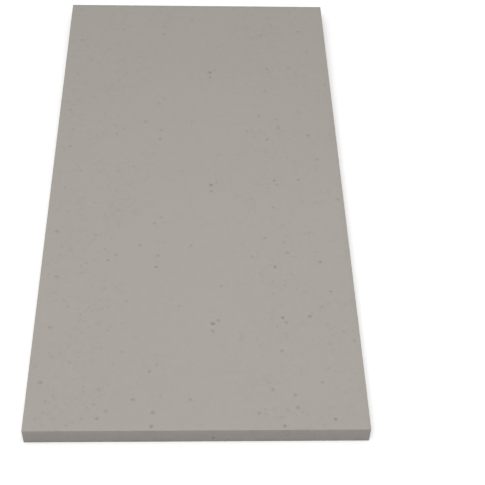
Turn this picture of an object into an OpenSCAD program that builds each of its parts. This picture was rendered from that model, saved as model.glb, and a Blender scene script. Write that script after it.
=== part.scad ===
// High-temperature insulation board
//
// One flat slab of rigid mineral board, pressed and cured in one piece, then
// sawn square on all four edges. It has no core, skin or layer of its own.
//
// The board lies flat, with the origin at the middle of its underside.
// X runs across the width, Y along the length and Z up through the thickness.

/* [Board] */
// Length of the board, along Y
board_length = 1000; // [250:5:2500]
// Width of the board, along X
board_width = 500; // [150:5:1250]
// Thickness of the board, along Z
board_thickness = 30; // [15:1:100]

/* [Edges] */
// Width of the 45 degree easing that every arris has
arris = 0.5; // [0.2:0.1:3]

/* [Hidden] */

// Dry, uncoated mineral board: a pale warm grey
board_colour = "#A9A49E";

// Rectangle centred on the origin, its four corners cut back by the arris
module eased_rectangle(width, height) {
    x = width / 2;
    y = height / 2;
    polygon([
        [x - arris, -y], [x, arris - y],
        [x, y - arris], [x - arris, y],
        [arris - x, y], [-x, y - arris],
        [-x, arris - y], [arris - x, -y]
    ]);
}

// Bar centred on the origin, its four long arrises along Z eased
module eased_bar(width, height, length) {
    linear_extrude(length, center = true) eased_rectangle(width, height);
}

// The slab is what three eased bars share, one along each axis, so that all
// twelve arrises are eased and every face stays flat
module board() {
    color(board_colour)
        translate([0, 0, board_thickness / 2])
            intersection() {
                eased_bar(board_width, board_length, board_thickness);
                rotate([90, 0, 0]) eased_bar(board_width, board_thickness, board_length);
                rotate([0, 90, 0]) eased_bar(board_thickness, board_length, board_width);
            }
}

board();
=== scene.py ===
import itertools
import math
import random

import bpy
from mathutils import Matrix, Vector


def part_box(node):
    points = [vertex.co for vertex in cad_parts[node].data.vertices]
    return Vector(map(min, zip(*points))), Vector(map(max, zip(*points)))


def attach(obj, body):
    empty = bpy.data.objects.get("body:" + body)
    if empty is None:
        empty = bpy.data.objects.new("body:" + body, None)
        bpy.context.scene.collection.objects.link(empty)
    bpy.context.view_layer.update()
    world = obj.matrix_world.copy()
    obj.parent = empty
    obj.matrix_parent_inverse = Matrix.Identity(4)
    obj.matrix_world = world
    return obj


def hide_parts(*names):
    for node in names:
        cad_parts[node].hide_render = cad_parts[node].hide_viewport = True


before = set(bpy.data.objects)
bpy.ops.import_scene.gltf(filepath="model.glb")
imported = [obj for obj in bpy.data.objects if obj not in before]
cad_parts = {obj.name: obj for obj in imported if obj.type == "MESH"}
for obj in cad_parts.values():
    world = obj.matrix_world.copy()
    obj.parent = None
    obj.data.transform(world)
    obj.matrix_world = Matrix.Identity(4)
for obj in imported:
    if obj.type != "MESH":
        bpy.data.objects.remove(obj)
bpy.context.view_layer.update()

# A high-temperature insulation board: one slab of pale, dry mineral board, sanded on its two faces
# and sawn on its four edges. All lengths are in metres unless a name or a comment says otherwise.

low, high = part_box("board")
centre = (low + high) / 2
width, length, thickness = high - low

MM = 0.001
chance = random.Random(11)


# ---------------------------------------------------------------- camera

# The camera stands before the board's front end and looks down along it, turned a little to the
# right and tilted, so that the board lies left of the middle with its ends nearly level. The turns
# are in degrees.
CAMERA_SIDE = -0.0027
CAMERA_BACK = 0.8614
CAMERA_RISE = 1.3727
CAMERA_DOWN = 48.307
CAMERA_RIGHT = 3.239
CAMERA_TILT = 2.479
SENSOR = 36.0
LENS = 82.974
SIDE_SHIFT = 0.010


def set_camera():
    data = bpy.data.cameras.new("camera")
    data.sensor_width = SENSOR
    data.lens = LENS
    data.shift_x = SIDE_SHIFT
    camera = bpy.data.objects.new("camera", data)
    bpy.context.collection.objects.link(camera)
    camera.location = (centre.x + CAMERA_SIDE, low.y - CAMERA_BACK, high.z + CAMERA_RISE)
    turn = Matrix.Rotation(math.radians(-CAMERA_RIGHT), 3, "Z")
    look = Matrix.Rotation(math.radians(90 - CAMERA_DOWN), 3, "X")
    tilt = Matrix.Rotation(math.radians(CAMERA_TILT), 3, "Z")
    camera.rotation_euler = (turn @ look @ tilt).to_euler()
    bpy.context.scene.camera = camera


set_camera()


# ---------------------------------------------------------------- the slab

CELL = 10 * MM          # spacing of the mesh lines over the faces
ARRIS = 0.5 * MM        # easing of the arrises
ARRIS_CRUMBLE = 0.08 * MM
ARRIS_STEPS = 2         # facets across an eased arris
SAW_ROWS = 3            # rows of mesh up the sawn edges


def select_none():
    bpy.ops.object.select_all(action="DESELECT")


def make_active(piece):
    select_none()
    piece.select_set(True)
    bpy.context.view_layer.objects.active = piece


def apply(piece, modifier):
    make_active(piece)
    bpy.ops.object.modifier_apply(modifier=modifier.name)


def pick_vertices(piece, wanted):
    """In edit mode, selects the vertices at whose places wanted is true, and nothing else."""
    bpy.ops.mesh.select_all(action="DESELECT")
    bpy.ops.object.mode_set(mode="OBJECT")
    for vertex in piece.data.vertices:
        vertex.select = wanted(vertex.co)
    bpy.ops.object.mode_set(mode="EDIT")
    bpy.ops.mesh.select_mode(type="VERT")


def depth_in(place):
    """How far a place lies inside the slab from each pair of faces, least first."""
    return sorted(min(p - a, b - p) for p, a, b in zip(place, low, high))


def sawn_slab():
    """The slab, meshed in squares, with its twelve arrises eased and very slightly crumbled."""
    select_none()
    bpy.ops.mesh.primitive_grid_add(
        x_subdivisions=round(width / CELL),
        y_subdivisions=round(length / CELL),
        size=1,
        calc_uvs=False,
        location=(centre.x, centre.y, high.z),
    )
    slab = bpy.context.object
    slab.name = "mineral_board"
    slab.data.name = "mineral_board"
    slab.scale = (width, length, 1)
    bpy.ops.object.transform_apply(location=True, rotation=True, scale=True)
    thicken = slab.modifiers.new("thickness", "SOLIDIFY")
    thicken.thickness = thickness
    thicken.offset = -1
    apply(slab, thicken)
    bpy.ops.object.mode_set(mode="EDIT")
    for row in range(1, SAW_ROWS):
        bpy.ops.mesh.select_all(action="SELECT")
        height = low.z + thickness * row / SAW_ROWS
        bpy.ops.mesh.bisect(plane_co=(0, 0, height), plane_no=(0, 0, 1))
    bpy.ops.mesh.select_all(action="DESELECT")
    bpy.ops.mesh.select_mode(type="EDGE")
    bpy.ops.mesh.edges_select_sharp(sharpness=math.radians(60))
    bpy.ops.mesh.bevel(offset=ARRIS, segments=ARRIS_STEPS, profile=0.5)
    hair = 0.02 * ARRIS
    pick_vertices(slab, lambda place: depth_in(place)[0] > hair)
    bpy.ops.transform.vertex_random(offset=ARRIS_CRUMBLE, seed=3)
    bpy.ops.mesh.select_all(action="SELECT")
    bpy.ops.mesh.normals_make_consistent(inside=False)
    bpy.ops.object.mode_set(mode="OBJECT")
    return slab


# ---------------------------------------------------------------- specks and pores

# The pressing belt leaves the same specks on the top face again at every step of its length, each
# time a little shallower. These are the plainest, by their width and by their depth at the second
# step, in millimetres. Each place is in millimetres, across from the middle line and along from
# the front end.
BELT_STEP = 300
STEP_FADE = 0.15        # how much shallower each step is, as a share of the depth at the second
BELT_SPECKS = {
    (9.6, 0.60): [(24, 192)],
    (9.0, 0.30): [
        (24, 177), (175, 206), (147, 38), (-64, 31), (-94, 53), (-224, 287), (-231, 84),
    ],
    (8.0, 0.44): [(133, 203), (126, 7), (200, 18), (-66, 7)],
    (6.8, 0.42): [(-144, 21)],
    (7.6, 0.29): [
        (33, 198), (138, 194), (128, 140), (241, 159), (212, 256), (112, 70), (90, 29),
        (-10, 53), (-71, 103),
    ],
    (6.8, 0.30): [(186, 82), (144, 60), (-226, 185)],
    (8.8, 0.22): [(-132, 33)],
    (7.2, 0.21): [(38, 267), (-60, 115), (-111, 237), (-150, 45), (-202, 226)],
    (7.4, 0.14): [(153, 30), (-28, 227), (-222, 32), (-167, 75)],
}
# The specks of the front end: places across and up from the underside, widths and depths, in
# millimetres
FRONT_SPECKS = [(23, 9, 9.2, 0.50), (131, 16, 7.0, 0.27)]
# Where lesser specks gather in each belt step, in millimetres, and how far they spread
GATHERINGS = [
    (-185, 120), (-140, 60), (-225, 30), (-145, 200), (-200, 255),
    (220, 175), (140, 40), (140, 275), (115, 160),
]
GATHERING_SPREAD = 26
# The lesser specks: how many a gathering has, their widths in millimetres, and their depth as a
# share of the width
FAINT_SPECKS = (9, (5.0, 7.4), 0.019)
FINE_SPECKS = (4, (2.4, 4.4), 0.06)

# Pits and pores strewn at random: how many each side has, and their widths in millimetres
TOP_PITS = (60, (1.4, 3.6))
UNDERSIDE_PITS = [(110, (3.0, 8.0)), (260, (1.4, 3.6))]
EDGE_PORES = (90, (0.9, 3.2))
END_PORES = (45, (0.9, 3.2))

PIT_DEEP = 0.07         # of the width of a pit in the faces
PORE_DEEP = 0.11        # of the width of a pore in the sawn edges
PIT_NARROWEST = 0.75    # least breadth of a hollow, as a share of its width
BALL_UNEVEN = 0.03      # how rough the ball that cuts the hollows is, of its own width
PIT_APART = 0.8 * MM    # least land between two hollows
EDGE_LAND = 1.5 * MM    # pits keep this far from an arris

NICK_EVERY = 35 * MM    # of arris, on the average
NICK_WIDE = (1.0, 3.0)  # millimetres
NICK_DEEP = 0.2         # of a nick's width


class Hollows:
    """The pits and nicks of the board, chosen so that no two of them run together."""

    def __init__(self):
        self.places = []
        self.shapes = []

    def add(self, place, wide, outward, deep):
        """Adds a shallow dish where it has room. Outward is the way its mouth looks."""
        for other, other_wide in self.places:
            if (place - other).length < (wide + other_wide) / 2 + PIT_APART:
                return
        self.places.append((place, wide))
        # the ball's middle lies above the mouth, so that only its lowest part bites
        across = wide / math.sqrt(0.75)
        face = outward.to_track_quat("Z", "Y").to_matrix().to_4x4()
        spin = Matrix.Rotation(chance.uniform(0, math.tau), 4, "Z")
        breadth = across * chance.uniform(PIT_NARROWEST, 1)
        size = Matrix.Diagonal((across, breadth, deep * 4, 1))
        self.shapes.append(Matrix.Translation(place + outward * deep) @ face @ spin @ size)

    def add_pit(self, place, wide, outward, deep):
        """Adds a pit on a face, if the whole pit keeps clear of the arrises."""
        if depth_in(place)[1] > wide / 2 + EDGE_LAND:
            self.add(place, wide, outward, deep)

    def scatter(self, count, wide, outward, deep):
        """Adds pits at random on the side that looks outward, small ones more than large."""
        for _ in range(count):
            place = Vector(chance.uniform(a, b) for a, b in zip(low, high))
            for axis in range(3):
                if outward[axis]:
                    place[axis] = high[axis] if outward[axis] > 0 else low[axis]
            smallest, largest = wide
            size = (smallest + (largest - smallest) * chance.random() ** 2) * MM
            self.add_pit(place, size, Vector(outward), size * deep)

    def nick_arrises(self):
        for along, span in enumerate(high - low):
            for signs in itertools.product((-1, 1), repeat=2):
                outward = Vector((*signs[:along], 0, *signs[along:]))
                corner = Vector(c + o * (b - c) for c, o, b in zip(centre, outward, high))
                eased = corner - outward * ARRIS / 2
                for _ in range(round(span / NICK_EVERY)):
                    eased[along] = chance.uniform(low[along], high[along])
                    wide = chance.uniform(*NICK_WIDE) * MM
                    self.add(eased.copy(), wide, outward.normalized(), wide * NICK_DEEP)


def belt_specks():
    """The specks of one belt step: places across and along, widths and depths, in millimetres."""
    for (wide, deep), places in BELT_SPECKS.items():
        for across, along in places:
            yield across, along, wide, deep
    for count, widths, deep in (FAINT_SPECKS, FINE_SPECKS):
        for middle_across, middle_along in GATHERINGS:
            for _ in range(count):
                across = chance.gauss(middle_across, GATHERING_SPREAD)
                along = chance.gauss(middle_along, GATHERING_SPREAD)
                wide = chance.uniform(*widths)
                yield across, along, wide, wide * deep


def choose_hollows():
    hollows = Hollows()
    up = Vector((0, 0, 1))
    specks = list(belt_specks())
    # the step before the board's front end leaves a few specks that reach onto it
    for step in range(-1, math.ceil(length / (BELT_STEP * MM))):
        print_depth = 1 + (1 - step) * STEP_FADE
        for across, along, wide, deep in specks:
            off = Vector((across, along + step * BELT_STEP, 0)) * MM
            place = Vector((centre.x, low.y, high.z)) + off
            hollows.add_pit(place, wide * MM, up, deep * print_depth * MM)
    for across, above, wide, deep in FRONT_SPECKS:
        place = Vector((centre.x + across * MM, low.y, low.z + above * MM))
        hollows.add_pit(place, wide * MM, Vector((0, -1, 0)), deep * MM)
    hollows.scatter(*TOP_PITS, (0, 0, 1), PIT_DEEP)
    for count, widths in UNDERSIDE_PITS:
        hollows.scatter(count, widths, (0, 0, -1), PIT_DEEP)
    for side in (-1, 1):
        hollows.scatter(*EDGE_PORES, (side, 0, 0), PORE_DEEP)
        hollows.scatter(*END_PORES, (0, side, 0), PORE_DEEP)
    hollows.nick_arrises()
    return hollows.shapes


def uneven_ball():
    """A slightly uneven ball, one unit across, that is squashed to cut each hollow."""
    select_none()
    bpy.ops.mesh.primitive_ico_sphere_add(subdivisions=2, radius=0.5, calc_uvs=False)
    bpy.ops.object.mode_set(mode="EDIT")
    bpy.ops.transform.vertex_random(offset=BALL_UNEVEN, seed=5)
    bpy.ops.object.mode_set(mode="OBJECT")
    return bpy.context.object


def cut_hollows(slab):
    ball = uneven_ball()
    cutters = []
    for shape in choose_hollows():
        cutter = ball.copy()
        cutter.data = ball.data.copy()
        cutter.matrix_world = shape
        bpy.context.collection.objects.link(cutter)
        cutters.append(cutter)
    bpy.data.objects.remove(ball)
    make_active(cutters[0])
    for cutter in cutters:
        cutter.select_set(True)
    bpy.ops.object.join()
    bpy.ops.object.transform_apply(location=True, rotation=True, scale=True)
    cut = slab.modifiers.new("hollows", "BOOLEAN")
    cut.operation = "DIFFERENCE"
    cut.solver = "MANIFOLD"
    cut.object = cutters[0]
    apply(slab, cut)
    bpy.data.objects.remove(cutters[0])


# ---------------------------------------------------------------- flat layout of the sides

LAYOUT_GAP = 6 * MM


def layout_place(place, normal):
    """Where a point of the slab lies when its six sides are laid out flat, in metres."""
    side = max(range(3), key=lambda axis: abs(normal[axis]))
    outward = normal[side] > 0
    x, y, z = place - low
    if side == 2:
        return (x, y) if outward else (2 * width + LAYOUT_GAP - x, y)
    strips = 2 * (width + LAYOUT_GAP)
    if side == 0:
        column = 0 if outward else 1
        across, along = (thickness - z if outward else z), y
    else:
        column = 2
        across, along = (z, x + width + LAYOUT_GAP) if outward else (thickness - z, x)
    return strips + column * (thickness + LAYOUT_GAP) + across, along


def lay_out_sides(slab):
    """Gives the slab a map of its sides laid out flat, for anything that is painted on it."""
    flat = slab.data.uv_layers.new(name="OFBake")
    wide = 2 * (width + LAYOUT_GAP) + 3 * (thickness + LAYOUT_GAP)
    for face in slab.data.polygons:
        for corner in face.loop_indices:
            place = slab.data.vertices[slab.data.loops[corner].vertex_index].co
            across, along = layout_place(place, face.normal)
            flat.data[corner].uv = (
                (across + LAYOUT_GAP / 2) / wide,
                (along + LAYOUT_GAP / 2) / wide,
            )


# ---------------------------------------------------------------- node helpers

class Nodes:
    """A node tree, emptied, to which nodes are added in one way."""

    def __init__(self, tree):
        self.tree = tree
        tree.nodes.clear()

    def add(self, kind, settings=None, inputs=None):
        """Adds a node. Its settings are set first, then the values or links of its sockets."""
        node = self.tree.nodes.new("ShaderNode" + kind)
        for name, value in (settings or {}).items():
            setattr(node, name, value)
        for name, value in (inputs or {}).items():
            if isinstance(value, Value):
                value = value.socket
            if isinstance(value, bpy.types.NodeSocket):
                self.tree.links.new(value, node.inputs[name])
            else:
                node.inputs[name].default_value = value
        return node

    def value(self, node, output=0):
        return Value(self, node.outputs[output])

    def noise(self, place, size, detail=2, roughness=0.5):
        """Soft noise about zero, between about -1 and 1, whose blots are size metres across."""
        settings = {"noise_dimensions": "3D", "normalize": False}
        inputs = {"Vector": place, "Scale": 1 / size, "Detail": detail, "Roughness": roughness}
        return self.value(self.add("TexNoise", settings, inputs), "Fac")

    def stretched(self, place, scale, move=(0, 0, 0)):
        inputs = {"Vector": place, "Scale": scale, "Location": move}
        return self.add("Mapping", {"vector_type": "POINT"}, inputs).outputs[0]


class Value:
    """A number that varies over a surface. Sums with it add the Math nodes that they need."""

    def __init__(self, nodes, socket):
        self.nodes = nodes
        self.socket = socket

    def math(self, operation, *terms):
        node = self.nodes.add("Math", {"operation": operation}, dict(enumerate(terms)))
        return self.nodes.value(node)

    def __add__(self, other):
        return self.math("ADD", self, other)

    __radd__ = __add__

    def __sub__(self, other):
        return self.math("SUBTRACT", self, other)

    def __rsub__(self, other):
        return self.math("SUBTRACT", other, self)

    def __mul__(self, other):
        return self.math("MULTIPLY", self, other)

    __rmul__ = __mul__

    def __truediv__(self, other):
        return self.math("DIVIDE", self, other)

    def __abs__(self):
        return self.math("ABSOLUTE", self)

    def least(self, other):
        return self.math("MINIMUM", self, other)

    def most(self, other):
        return self.math("MAXIMUM", self, other)

    def rise(self, start, end):
        """Nothing up to start, one from end on, and a smooth rise between them."""
        settings = {"interpolation_type": "SMOOTHSTEP"}
        inputs = {"Value": self, "From Min": start, "From Max": end}
        return self.nodes.value(self.nodes.add("MapRange", settings, inputs))


# ---------------------------------------------------------------- finish of the board

BOARD_COLOUR = (0.4036, 0.3758, 0.3458)
DARK_DEPTH = 0.5 * MM    # at which a pit is darkest
SMOOTH_UP_TO = 25        # degrees between faces that are shaded as one
# The tone of each of these, as a share of the board's own colour
PIT_TONE = 0.72
FLECK_TONE = 0.90
PORE_TONE = 0.80
SMUDGE_TONE = 0.95


def dots(nodes, place, spacing, wide, share):
    """Soft dots of up to the given width, in up to a share of the cells of the given spacing."""
    cells = nodes.add(
        "TexVoronoi",
        {"voronoi_dimensions": "3D", "feature": "F1"},
        {"Vector": place, "Scale": 1 / spacing},
    )
    luck = nodes.value(nodes.add("SeparateColor", {}, {"Color": cells.outputs["Color"]}))
    chosen = (luck + share - 1).most(0) / share
    return (chosen * (wide / spacing / 2) - nodes.value(cells, "Distance")).rise(0, 0.06)


def board_finish():
    """Dry, uncoated mineral board: pale warm grey, faintly clouded and flecked, dark in its pits."""
    material = bpy.data.materials.new("mineral_board")
    material.use_nodes = True
    nodes = Nodes(material.node_tree)
    place = nodes.add("TexCoord").outputs["Object"]
    axes = nodes.add("SeparateXYZ", {}, {"Vector": place})
    x, y, z = (nodes.value(axes, axis) for axis in "XYZ")

    # how deep a point lies behind the long edges, the ends and the two faces of the slab
    off_middle = abs(x - centre.x)
    from_edges = width / 2 - off_middle
    from_ends = length / 2 - abs(y - centre.y)
    from_faces = thickness / 2 - abs(z - centre.z)
    deep = from_edges.least(from_ends).least(from_faces)
    from_arris = from_edges.least(from_ends).most(from_edges.most(from_ends).least(from_faces))
    sawn = from_faces.rise(0.9 * MM, 1.5 * MM)
    in_pit = (deep / DARK_DEPTH).least(1) * from_arris.rise(0.9 * MM, 1.4 * MM)

    clouds = nodes.noise(place, 160 * MM, detail=3)
    mottle = nodes.noise(place, 15 * MM, detail=2, roughness=0.6)
    smudges = nodes.noise(place, 9 * MM, detail=3).rise(0.1, 0.7)
    grain = nodes.noise(place, 0.9 * MM, detail=3, roughness=0.7)
    # flecks and smudges come in patches, with few along the middle of the board
    patches = nodes.noise(nodes.stretched(place, (1, 1, 1), (3, 7, 5)), 60 * MM).rise(-0.35, 0.45)
    crowd = patches * (0.35 + 0.65 * off_middle.rise(30 * MM, 90 * MM))
    flecks = dots(nodes, place, 6 * MM, 3 * MM, 0.15 + 0.25 * crowd)
    pores = dots(nodes, place, 1.5 * MM, 0.7 * MM, 0.5)

    worn = 1 - from_arris.rise(0.2 * MM, 1.6 * MM)
    sanding = nodes.noise(nodes.stretched(place, (1, 0.02, 1)), 1.0 * MM)
    sawing = nodes.noise(nodes.stretched(place, (1, 1, 0.08)), 2.2 * MM, detail=3)

    tone = 1 + 0.010 * clouds + 0.014 * mottle + 0.035 * grain
    tone = tone + 0.03 * sawing * sawn + 0.015 * worn
    tone = tone * (1 - (1 - SMUDGE_TONE) * smudges * crowd)
    tone = tone * (1 - (1 - FLECK_TONE) * flecks)
    tone = tone * (1 - (1 - PORE_TONE) * pores)
    tone = tone * (1 - (1 - PIT_TONE) * in_pit)
    colour = nodes.add("VectorMath", {"operation": "SCALE"}, {0: BOARD_COLOUR, "Scale": tone})

    # fine sanding lines along the faces, saw lines across the edges, and grain and pores all over
    relief = 0.6 * grain + 0.2 * sanding * (1 - sawn) + 1.2 * sawing * sawn - pores
    bump = nodes.add("Bump", {}, {"Strength": 1, "Distance": 0.1 * MM, "Height": relief})

    shader = nodes.add("BsdfPrincipled", {}, {
        "Base Color": colour.outputs[0],
        "Roughness": 0.86 + 0.05 * grain,
        "Specular IOR Level": 0.3,
        "Normal": bump.outputs["Normal"],
    })
    nodes.add("OutputMaterial", {}, {"Surface": shader.outputs[0]})
    return material


# ---------------------------------------------------------------- floor and light

FLOOR_ACROSS = 8
FLOOR_GAP = 0.1 * MM
FLOOR_COLOUR = 0.5       # as the board is lit by it
FLOOR_SEEN = 1.1         # as it is seen, with a glow of its own that keeps it white
FLOOR_GLOW = 0.12
FAR_GLOW = 0.15          # added away from the board, where the front lamp doesn't reach
FAR_FROM_BOARD = (0.6, 1.6)

SKY = 0.497              # light from all round
SUN = 0.78               # watts per square metre
SUN_ELEVATION = 55
SUN_FROM_LEFT = 25
SUN_SOFTNESS = 50
LAMP_HEIGHT = 1.5
LAMP_ACROSS = 1.0
LAMP_BEHIND = 0.08       # behind the board's front end
LAMP_POWER = 7.5


def lit_or_seen(nodes, lighting, seen):
    """One look for the light that falls on the board, and another for what is seen directly."""
    path = nodes.add("LightPath")
    kinds = ("Is Camera Ray", "Is Glossy Ray", "Is Transmission Ray")
    camera, gloss, glass = (nodes.value(path, kind) for kind in kinds)
    looks = {0: camera.most(gloss).most(glass), 1: lighting.outputs[0], 2: seen.outputs[0]}
    return nodes.add("MixShader", {}, looks)


def plain_grey(level):
    return (level, level, level, 1)


def lay_floor():
    """A plain white floor that keeps the board's shadow."""
    select_none()
    bpy.ops.mesh.primitive_plane_add(size=FLOOR_ACROSS, location=(0, 0, low.z - FLOOR_GAP))
    bpy.ops.object.transform_apply(location=True, rotation=True, scale=True)
    floor = bpy.context.object
    floor.name = "floor"
    material = bpy.data.materials.new("floor")
    material.use_nodes = True
    nodes = Nodes(material.node_tree)
    lighting = nodes.add("BsdfDiffuse", {}, {"Color": plain_grey(FLOOR_COLOUR)})
    shaded = nodes.add("BsdfDiffuse", {}, {"Color": plain_grey(FLOOR_SEEN)})
    place = nodes.add("TexCoord").outputs["Object"]
    away = nodes.value(nodes.add("VectorMath", {"operation": "LENGTH"}, {0: place}), "Value")
    glow = nodes.add("Emission", {}, {"Color": FLOOR_GLOW + FAR_GLOW * away.rise(*FAR_FROM_BOARD)})
    seen = nodes.add("AddShader", {}, {0: shaded.outputs[0], 1: glow.outputs[0]})
    surface = lit_or_seen(nodes, lighting, seen)
    nodes.add("OutputMaterial", {}, {"Surface": surface.outputs[0]})
    floor.data.materials.append(material)


def set_world():
    world = bpy.data.worlds.new("studio")
    world.use_nodes = True
    nodes = Nodes(world.node_tree)
    lighting = nodes.add("Background", {}, {"Color": plain_grey(1), "Strength": SKY})
    seen = nodes.add("Background", {}, {"Color": plain_grey(1), "Strength": 1})
    surface = lit_or_seen(nodes, lighting, seen)
    nodes.add("OutputWorld", {}, {"Surface": surface.outputs[0]})
    bpy.context.scene.world = world


def add_lamp(name, kind, energy, location, rotation):
    data = bpy.data.lights.new(name, kind)
    data.energy = energy
    lamp = bpy.data.objects.new(name, data)
    lamp.location = location
    lamp.rotation_euler = rotation
    bpy.context.collection.objects.link(lamp)
    return data


def set_lamps():
    sun_turn = (math.radians(90 - SUN_ELEVATION), 0, -math.radians(SUN_FROM_LEFT))
    sun = add_lamp("sun", "SUN", SUN, (-1, -2, 3), sun_turn)
    sun.angle = math.radians(SUN_SOFTNESS)
    above_front = (centre.x, low.y + LAMP_BEHIND, high.z + LAMP_HEIGHT)
    lamp = add_lamp("front_lamp", "AREA", LAMP_POWER, above_front, (0, 0, 0))
    lamp.shape = "SQUARE"
    lamp.size = LAMP_ACROSS


# ---------------------------------------------------------------- making the board

slab = sawn_slab()
cut_hollows(slab)
make_active(slab)
bpy.ops.object.shade_smooth_by_angle(angle=math.radians(SMOOTH_UP_TO))
lay_out_sides(slab)
slab.data.materials.clear()
slab.data.materials.append(board_finish())
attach(slab, "root")
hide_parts("board")

lay_floor()
set_world()
set_lamps()
bpy.context.scene.view_settings.view_transform = "Standard"
